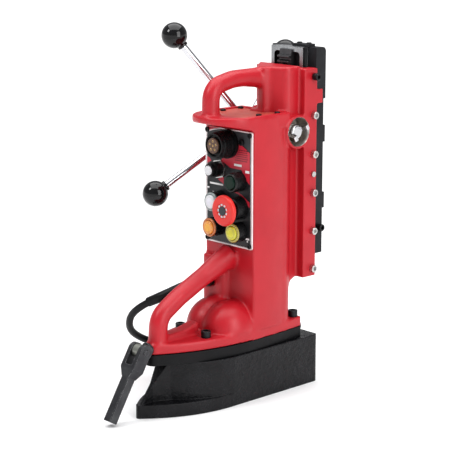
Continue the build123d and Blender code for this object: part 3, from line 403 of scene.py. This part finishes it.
def cast_housing():
    """The housing's casting: the CAD shape remeshed, with the unmachined zones melted into each other."""
    shape = bmesh.new()
    for name in CASTING:
        part = NODES[name].data.copy()
        part.transform(NODES[name].matrix_world)
        shape.from_mesh(part)
    mesh = bpy.data.meshes.new("housing_casting")
    shape.to_mesh(mesh)
    shape.free()
    piece = add_piece("housing_casting", mesh, "stand", "red_paint")
    remesh = piece.modifiers.new("grid", "REMESH")
    remesh.mode = "VOXEL"
    remesh.voxel_size = VOXEL
    apply_modifiers(piece)
    cast = piece.vertex_groups.new(name="cast")
    plain = piece.vertex_groups.new(name="plain")
    for vertex in piece.data.vertices:
        x, y, z = vertex.co
        if any(inside(y, z, zone) for zone in CAST_ZONES):
            cast.add([vertex.index], 1.0, "REPLACE")
        plain.add([vertex.index], 1.0, "REPLACE")
        if abs(x) < NUT_WALL_HALF and inside(y, z, NUT_WALL):
            vertex.co.y += NUT_ROOM
    for group, count in (("plain", PLAIN_ROUNDS), ("cast", CAST_ROUNDS)):
        smooth = piece.modifiers.new(group, "SMOOTH")
        smooth.factor = 0.5
        smooth.iterations = count
        smooth.vertex_group = group
    final = apply_modifiers(piece)
    final.materials.clear()
    final.materials.append(RED)
    final.materials.append(BARE_CASTING)
    for polygon in final.polygons:
        polygon.use_smooth = True
        x, y, z = polygon.center / MM
        gap = math.hypot(y - WING_CENTRE[0], z - WING_CENTRE[1])
        recess = gap < WING_RADIUS and WING_DEPTH[0] < x < WING_DEPTH[1]
        polygon.material_index = 1 if recess else 0
    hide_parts(*CASTING)


# ---------------------------------------------------------------- panel print
# Places on the panel are (x, z) in millimetres, from here to stop_ring.
BUTTONS = {
    "green": (21.0, 283.5),
    "white": (-14.0, 254.5),
    "orange": (-17.5, 220.5),
    "yellow": (23.0, 219.0),
}
STOP = (21.0, 249.5)
BUTTON_HOLE = 11.1
# (x, z, radius) of the openings for the receptacle, the breaker and the buttons.
CONTROL_HOLES = [
    (0.0, 329.5, 13.2),
    (-16.5, 295.0, 8.1),
    (*STOP, BUTTON_HOLE),
    *((x, z, BUTTON_HOLE) for x, z in BUTTONS.values()),
]
CIRCLE = [math.radians(15 * k) for k in range(24)]

# The panel's front, and how far each printed layer lies in front of it.
PANEL_FRONT = -36.2
GROUND, BORDER, GREY_AREA, RED_AREA, INK = 0.05, 0.06, 0.08, 0.11, 0.14

FIELD_OUTLINE = [(-40.2, 200.2), (40.2, 200.2), (40.2, 346.6), (-12, 346.6), (-26, 344.5), (-40.2, 340.5)]
CORNER_PATCH = [(-40.2, 342.2), (-26, 346.0), (-16, 348.0), (-40.2, 348.0)]
GREY_PATCH = [(9, 346.0), (39.2, 346.0), (39.2, 323), (27, 330.5), (14, 334.5)]
RED_PATCHES = [
    [(-14, 306.5), (4, 298.5), (24, 298.5), (31, 287.5), (39.2, 281), (39.2, 321.5), (27, 328.8), (14, 333)],
    [(-40, 308.5), (-36, 307.5), (-32, 303.5), (-40, 299.5)],
    [(-20, 281.0), (-9, 286.0), (-9, 276.0)],
    [(9, 268.6), (16, 270.2), (24, 267.2), (33, 262.0), (39.2, 258.5), (39.2, 251.5), (33, 256.0),
     (24, 264.0), (16, 267.0)],
]
# Bars are (x0, x1, z0, z1).
MARKS = [
    (10.5, 24.5, 302.2, 305.2),
    (31, 38.5, 295.4, 298.8),
    (-35, -10, 273.4, 275.8),
    (-40, -36, 267.2, 269.2),
    (31, 38.5, 209.6, 212.0),
    (34, 36, 206.5, 209.0),
    (-30, -22, 262.6, 264.0),
]
BORDER_BARS = [(-41.4, 41.4, 345.9, 346.6), (-41.4, 41.4, 199.4, 200.1), (40.7, 41.4, 200.1, 345.9)]
LENS_RADIUS = 5.2
RING_FRONT = -66.42
RING_RADII = (9.0, 6.6)


def bar(x0, x1, z0, z1):
    return [(x0, z0), (x1, z0), (x1, z1), (x0, z1)]


def arc(x, z, radius, turns):
    return [(x + radius * math.cos(a), z + radius * math.sin(a)) for a in turns]


def add_corners(shape, points, y):
    """The vertices of one flat outline on the plane y, with everything in millimetres."""
    return [shape.verts.new((x * MM, y * MM, z * MM)) for x, z in points]


def finish_print(name, shape, material):
    """Faces a flat print to the front and makes it a piece."""
    for face in shape.faces:
        face.normal_update()
        if face.normal.y > 0:
            face.normal_flip()
    mesh = bpy.data.meshes.new(name)
    shape.to_mesh(mesh)
    shape.free()
    return add_piece(name, mesh, "stand", "panel", material)


def add_print(name, outlines, y, material):
    shape = bmesh.new()
    for points in outlines:
        shape.faces.new(add_corners(shape, points, y))
    return finish_print(name, shape, material)


def add_field(name, outline, y, material):
    """The printed ground of the panel, open where the controls pass through it."""
    shape = bmesh.new()
    for points in [outline] + [arc(x, z, radius, CIRCLE) for x, z, radius in CONTROL_HOLES]:
        corners = add_corners(shape, points, y)
        for a, b in zip(corners, corners[1:] + corners[:1]):
            shape.edges.new((a, b))
    bmesh.ops.triangle_fill(shape, use_beauty=True, edges=shape.edges[:])
    return finish_print(name, shape, material)


def printed_lines():
    """Short bars of varied width in rows, where the photograph has lines of small lettering."""
    lines = []
    for row in range(6):
        z = 309.5 + 2.7 * row
        start = 12.0 + (row % 3) * 0.8
        while start < 35:
            width = 1.6 + (start * 7 + row * 3) % 2.3
            lines.append(bar(start, start + width, z, z + 1.0))
            start += width + 0.9
    return lines + [bar(39.3, 40.0, 201, 346)]


def panel_print():
    field = surface("print_dark", (0.022, 0.024, 0.027), 0.4, grain=500, bump=0.04, spread=0.08,
                    second=(0.018, 0.019, 0.021), edge=0.1)
    red = surface("print_red", (0.55, 0.03, 0.055), 0.36, grain=500, bump=0.03, second=(0.5, 0.026, 0.05),
                  edge=0.1)
    white = surface("print_white", (0.8, 0.78, 0.78), 0.4, grain=500, bump=0.03, second=(0.75, 0.73, 0.73),
                    edge=0.1)
    ink = surface("print_ink", (0.012, 0.01, 0.011), 0.4, grain=500, bump=0.03, edge=0.1)
    grey = surface("print_grey", (0.055, 0.062, 0.068), 0.4, grain=500, bump=0.03,
                   second=(0.05, 0.055, 0.06), edge=0.1)
    add_field("panel_field", FIELD_OUTLINE, PANEL_FRONT - GROUND, field)
    add_print("panel_corner", [CORNER_PATCH], PANEL_FRONT - GROUND, red)
    add_print("panel_grey", [GREY_PATCH], PANEL_FRONT - GREY_AREA, grey)
    add_print("panel_red", RED_PATCHES, PANEL_FRONT - RED_AREA, red)
    add_print("panel_marks", [bar(*mark) for mark in MARKS], PANEL_FRONT - INK, white)
    add_print("panel_lines", printed_lines(), PANEL_FRONT - INK, ink)
    add_print("panel_border_line", [bar(*side) for side in BORDER_BARS], PANEL_FRONT - BORDER, ink)


def lens_centres():
    """The raised middles of the lit caps, paler than the rims of their lenses."""
    looks = {
        "orange": (-56.7, (0.80, 0.42, 0.09)),
        "yellow": (-54.2, (0.74, 0.72, 0.08)),
        "white": (-56.7, (0.74, 0.74, 0.80)),
        "green": (-55.2, (0.004, 0.022, 0.012)),
    }
    for name, (front, colour) in looks.items():
        material = surface("lens_centre_" + name, colour, 0.3, grain=400, bump=0.06, edge=0.3, specular=0.3)
        outline = arc(*BUTTONS[name], LENS_RADIUS, CIRCLE)
        disc = add_print("lens_centre_" + name, [outline], front - 0.06, material)
        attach(disc, name)


def stop_ring(material):
    """The white notched ring printed round the centre of the stop button."""
    outlines = []
    for index in range(9):
        start = math.radians(40 * index + 8)
        turns = [(start + math.radians(24) * step / 4) for step in range(5)]
        outer, inner = (arc(*STOP, radius, turns) for radius in RING_RADII)
        outlines.append(outer + inner[::-1])
    ring = add_print("stop_ring", outlines, RING_FRONT, material)
    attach(ring, "stop")


# ---------------------------------------------------------------- dressing the CAD nodes
# The slide's faces that take the dark finish, in millimetres: everything behind SLIDE_REAR, which is painted
# dark, and the inside of the pocket in its front, darkened as painted shade.
SLIDE_REAR = 80.9
POCKET_HALF = 23.2
POCKET_DEPTH = (68, 76)
POCKET_TOP = 440


def dress_nodes():
    dress(BLACK_PAINT, "magnet_body")
    dress(PLATE_BLACK, "swivel_plate")
    dress(DARK_STEEL, "slide_top_plate")
    dress(RACK_STEEL, "rack")
    dress(PIVOT_STEEL, "magnet_core", "pivot_stud", "pivot_nut", "swivel_block", "pinion_shaft")
    dress(COPPER, "magnet_coil")
    dress(POTTING, "magnet_potting")
    dress(BLACK_SCREW, "base_screws", "stop_screw", "lock_screws", "hub_screw", "slide_screws",
          "cover_screws")
    dress(ZINC, "gib_screws", "breaker_nut")
    # The deck cover takes the paler red, a painted highlight.
    dress(DECK_PAINTED_HIGHLIGHT, "deck_cover")
    dress(PANEL_EDGE, "panel_plate")
    dress(BLACK_PLASTIC, "receptacle_shell", "breaker_body", "button_barrels", "contact_blocks",
          "stop_collar", "plug_body", "cord_gland", "shaft_bushes")
    dress(TAN, "receptacle_insert")
    dress(BRASS, "receptacle_contacts", "plug_blades")
    dress(WHITE, "breaker_button", "button_white")
    dress(GREEN, "button_green")
    dress(AMBER, "button_orange")
    dress(YELLOW, "button_yellow")
    dress(STOP_RED, "stop_mushroom")
    dress(GREY_PLASTIC, "stop_disc")
    dress(BOARD, "control_board")
    dress(SLIDE_STEEL, "slide", "gib_strip")
    NODES["slide"].data.materials.append(DARK_STEEL)
    for polygon in NODES["slide"].data.polygons:
        x, y, z = polygon.center / MM
        # The pocket's inner faces get the dark finish as painted shade. The faces behind SLIDE_REAR are the
        # slide's dark-painted rear.
        pocket_painted_shade = abs(x) < POCKET_HALF and POCKET_DEPTH[0] < y < POCKET_DEPTH[1] and z < POCKET_TOP
        polygon.material_index = 1 if y > SLIDE_REAR or pocket_painted_shade else 0
    dress(CHROME, "hub", "spokes", "wing_screw")
    dress(KNOB, "knobs")
    dress(GUNMETAL, "clamp_lever", "lever_pin", "nose_washer", "clamp_wedge")
    dress(EYE_STEEL, "draw_bar")
    dress(RUBBER, "strain_relief", "cord_tie")
    dress(RED, *CASTING)
    rims = NODES["button_rims"]
    rims.data.materials.clear()
    for name in BUTTONS:
        rims.data.materials.append(RIM_COLOURS[name])
    for polygon in rims.data.polygons:
        x, y, z = polygon.center / MM
        gaps = [math.hypot(x - px, z - pz) for px, pz in BUTTONS.values()]
        polygon.material_index = gaps.index(min(gaps))


dress_nodes()
cast_housing()
panel_print()
stop_ring(WHITE)
lens_centres()
